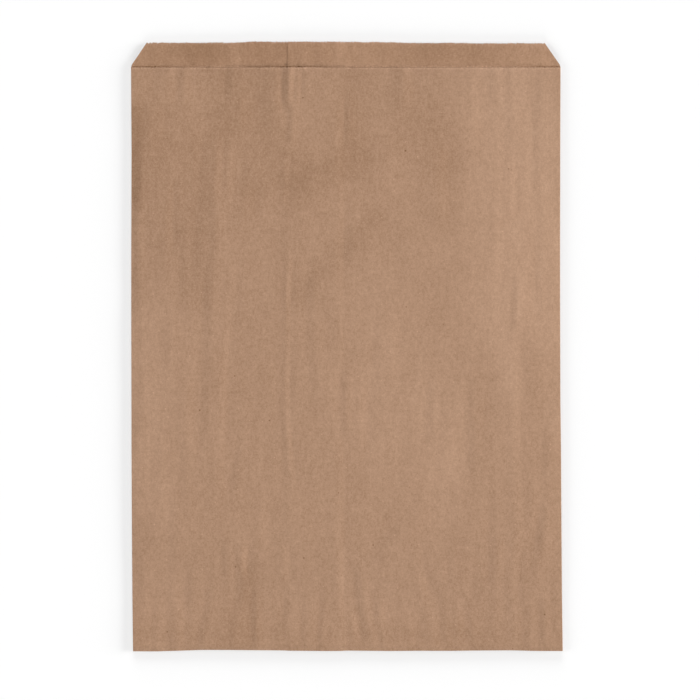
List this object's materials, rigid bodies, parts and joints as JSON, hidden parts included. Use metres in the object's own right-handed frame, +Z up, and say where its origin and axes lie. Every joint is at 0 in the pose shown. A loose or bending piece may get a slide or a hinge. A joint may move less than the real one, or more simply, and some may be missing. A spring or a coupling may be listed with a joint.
{
  "type": "kraft paper bag",
  "caption": "Flat kraft paper merchandise bag with a lapped back seam, a turned-over bottom and a longer lip with cut corners at its saw-cut mouth.",
  "frame": {"origin": "below the middle of the bag, on the surface that it lies on", "axes": "+X across the bag, +Y along it towards the mouth, +Z up out of the front panel"},
  "size_m": [0.25, 0.3548, 0.0039],
  "materials": {
    "kraft_paper": "matt, uncoated brown kraft"
  },
  "bodies": {
    "root": {"paper_bag": "kraft_paper"}
  },
  "joints": []
}
